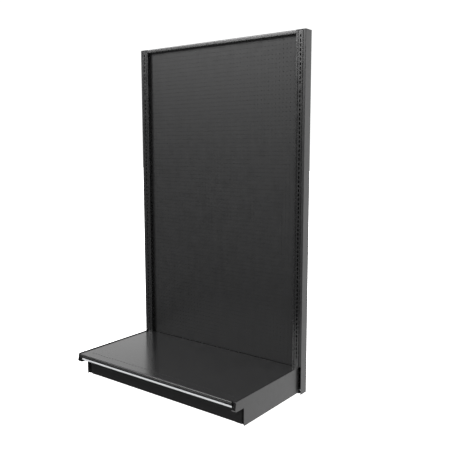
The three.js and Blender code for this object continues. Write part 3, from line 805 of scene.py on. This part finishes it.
# ---- levelers ----
def make_leveler(where, side_name):
    tag = f"{side_name}_{where}"
    _, _, zs = limits(f"leveler_stud_{tag}")
    x, y = middle(f"leveler_stud_{tag}")
    pad = [(0, 0), (17.4, 0), (19.2, 0.5), (20, 1.7), (20, 4.4), (19.3, 5.4), (12, 8.6), (10, 10.6),
           (9.2, 13.4), (8.6, 14), (THREAD_BORE, 14), (THREAD_BORE, 4), (0, 4)]
    cup = turned(f"leveler_pad_{tag}_cup", pad, x, y)
    dress(cup, f"pad_{tag}", "black_plastic", f"leveler_pad_{tag}")
    stud = thread(f"leveler_stud_{tag}_thread", x, y, 22.5, zs[1])
    collar = hexagon("collar", x, y, 8.0, 14.3, 21.7)
    rod = [(0, zs[0]), (3.6, zs[0]), (4.4, zs[0] + 1), (4.4, 22.9), (0, 22.9)]
    foot = turned("foot", rod, x, y, 24)
    stud = carve(stud, foot, collar, operation="UNION")
    dress(stud, f"stud_{tag}", "zinc", f"leveler_stud_{tag}")
    nut_z = limits(f"leveler_nut_{tag}")[2]
    nut = hexagon(f"leveler_nut_{tag}_hex", x, y, 9.0, *nut_z)
    bore = stud_bore(x, y, nut_z[0] - 1, nut_z[1] + 1)
    dress(carve(nut, bore), "frame", "zinc", f"leveler_nut_{tag}")


def hexagon(name, x, y, radius, z0, z1):
    """A hex prism whose corners are chamfered top and bottom."""
    corners = [(x + radius * math.cos(a), y + radius * math.sin(a))
               for a in (math.pi / 3 * k for k in range(6))]
    solid = prism(name, corners, "Z", (z0, z1))
    cut = radius * 0.14
    bell = [(0, z0), (radius - cut, z0), (radius + 0.1, z0 + cut * 0.6), (radius + 0.1, z1 - cut * 0.6),
            (radius - cut, z1), (0, z1)]
    return carve(solid, turned("bell", bell, x, y, 36), operation="INTERSECT")


def thread(name, x, y, z0, z1):
    """A threaded rod: a swept helical profile closed by flat ends."""
    steps, core, crest = 16, 4.05, 4.72
    turns = int((z1 - z0) / STUD_PITCH)
    bm = bmesh.new()
    rows = []
    levels = turns * 4 + 1
    for level in range(levels):
        ring = []
        for k in range(steps):
            a = 2 * math.pi * k / steps
            phase = (level / 4 - k / steps) % 1.0
            r = core + (crest - core) * (1 - abs(2 * phase - 1))
            z = z0 + (z1 - z0) * level / (levels - 1)
            ring.append(bm.verts.new((x + r * math.cos(a), y + r * math.sin(a), z)))
        rows.append(ring)
    for low, high in zip(rows, rows[1:]):
        for k in range(steps):
            n = (k + 1) % steps
            bm.faces.new((low[k], low[n], high[n], high[k]))
    bm.faces.new(list(reversed(rows[0])))
    bm.faces.new(rows[-1])
    return finish_mesh(bm, name, 60)


# ---- everything ----
for side_name, side_sign in SIDES:
    make_upright(side_name, side_sign)
    make_cap(side_name)
    make_end_trim(side_name, side_sign)
    make_side_strip(side_name, side_sign)
    make_base_end_trim(side_name, side_sign)
    make_base_bracket(side_name, side_sign)
    make_clips(side_name, side_sign)
    make_foot_plate(side_name)
    make_kick_hook(side_name)
    for end in ("front", "rear"):
        make_leveler(end, side_name)
make_panel()
make_top_rail()
make_mid_rail("lower")
make_mid_rail("upper")
make_bottom_rail()
make_deck()
for position in ("front", "middle", "rear"):
    make_stiffener(position)
make_price_channel()
make_kick_plate()

slots = {part["node"]: part["material_slot"] for part in frame["record"]["subparts"]}
for node_name, node_object in frame["nodes"].items():
    node_object.data.materials.clear()
    node_object.data.materials.append(LOOKS[slots[node_name]])


# ---- studio ----
DOME_BEHIND = (-0.3, 0.25, 0.1, 1.45)  # from, to, strength in front, strength behind
DOME_ABOVE = (0.15, 0.7, 0.1, 1.6)  # from, to, strength low down, strength overhead
DOME_BELOW = (-0.8, -0.55, 2.0, 0.1)  # from, to, strength underfoot, strength above that
BACKDROP = 1.1
FLOOR_GLOW = 1.05


def floor_material():
    """Pale and matt, lifted towards the backdrop where the camera sees it directly."""
    material, tree, shader = new_material("floor")
    shader.inputs["Base Color"].default_value = (0.9, 0.9, 0.9, 1)
    shader.inputs["Roughness"].default_value = 0.8
    shader.inputs["Emission Color"].default_value = (1, 1, 1, 1)
    path = add_node(tree, "ShaderNodeLightPath")
    glow = add_node(tree, "ShaderNodeMath", operation="MULTIPLY")
    glow.inputs[1].default_value = FLOOR_GLOW
    tree.links.new(path.outputs["Is Camera Ray"], glow.inputs[0])
    tree.links.new(glow.outputs["Value"], shader.inputs["Emission Strength"])
    return material


def make_floor():
    mesh = bpy.data.meshes.new("floor")
    size = 30.0
    corners = [(-size, -size, 0), (size, -size, 0), (size, size, 0), (-size, size, 0)]
    mesh.from_pydata(corners, [], [(0, 1, 2, 3)])
    floor = bpy.data.objects.new("floor", mesh)
    floor.location.z = -0.0005
    bpy.context.scene.collection.objects.link(floor)
    mesh.materials.append(floor_material())
    floor.visible_glossy = False


def area_light(name, place, target, size, power):
    light = bpy.data.lights.new(name, "AREA")
    light.shape = "RECTANGLE"
    light.size, light.size_y = size
    light.energy = power
    obj = bpy.data.objects.new(name, light)
    obj.location = place
    obj.rotation_euler = (Vector(target) - Vector(place)).to_track_quat("-Z", "Y").to_euler()
    obj.visible_camera = False
    bpy.context.scene.collection.objects.link(obj)


def make_world():
    """A pale dome that is bright behind, above and beside the unit and dim straight in front."""
    world = bpy.data.worlds.new("studio")
    bpy.context.scene.world = world
    world.use_nodes = True
    tree = world.node_tree
    dome = tree.nodes["Background"]
    coords = add_node(tree, "ShaderNodeTexCoord")
    split = add_node(tree, "ShaderNodeSeparateXYZ")
    tree.links.new(coords.outputs["Generated"], split.inputs["Vector"])
    behind = ramp(tree, split.outputs["Y"], *DOME_BEHIND)
    above = ramp(tree, split.outputs["Z"], *DOME_ABOVE)
    below = ramp(tree, split.outputs["Z"], *DOME_BELOW)
    strength = behind
    for part in (above, below):
        brighter = add_node(tree, "ShaderNodeMath", operation="MAXIMUM")
        tree.links.new(strength, brighter.inputs[0])
        tree.links.new(part, brighter.inputs[1])
        strength = brighter.outputs["Value"]
    tree.links.new(strength, dome.inputs["Strength"])
    seen = add_node(tree, "ShaderNodeBackground", Strength=BACKDROP)
    path = add_node(tree, "ShaderNodeLightPath")
    choose = add_node(tree, "ShaderNodeMixShader")
    tree.links.new(path.outputs["Is Camera Ray"], choose.inputs["Fac"])
    tree.links.new(dome.outputs["Background"], choose.inputs[1])
    tree.links.new(seen.outputs["Background"], choose.inputs[2])
    tree.links.new(choose.outputs["Shader"], tree.nodes["World Output"].inputs["Surface"])
    for background in (dome, seen):
        background.inputs["Color"].default_value = (1, 1, 1, 1)
    bpy.context.scene.view_settings.view_transform = "Standard"


def ramp(tree, source, start, end, low, high):
    """A smooth step between two values."""
    node = add_node(tree, "ShaderNodeMapRange", interpolation_type="SMOOTHSTEP")
    for socket, value in (("From Min", start), ("From Max", end), ("To Min", low), ("To Max", high)):
        node.inputs[socket].default_value = value
    tree.links.new(source, node.inputs["Value"])
    return node.outputs["Result"]


make_floor()
make_world()
area_light("softbox", place=(-13.7, -17.5, 12.3), target=(0, 0, 1), size=(10, 9), power=4200)


# ---- camera ----
def make_camera():
    data = bpy.data.cameras.new("camera")
    data.sensor_width = 36
    data.lens = 48.45
    data.clip_start, data.clip_end = 0.05, 100
    camera = bpy.data.objects.new("camera", data)
    yaw, pitch, roll = math.radians(37.543), math.radians(7.32), math.radians(-0.09)
    camera.location = (2.3913, -2.7298, 1.4681)
    camera.rotation_mode = "XYZ"
    turn = Matrix.Rotation(yaw, 4, "Z") @ Matrix.Rotation(math.pi / 2 - pitch, 4, "X")
    camera.rotation_euler = (turn @ Matrix.Rotation(roll, 4, "Z")).to_euler()
    bpy.context.scene.collection.objects.link(camera)
    bpy.context.scene.camera = camera


make_camera()
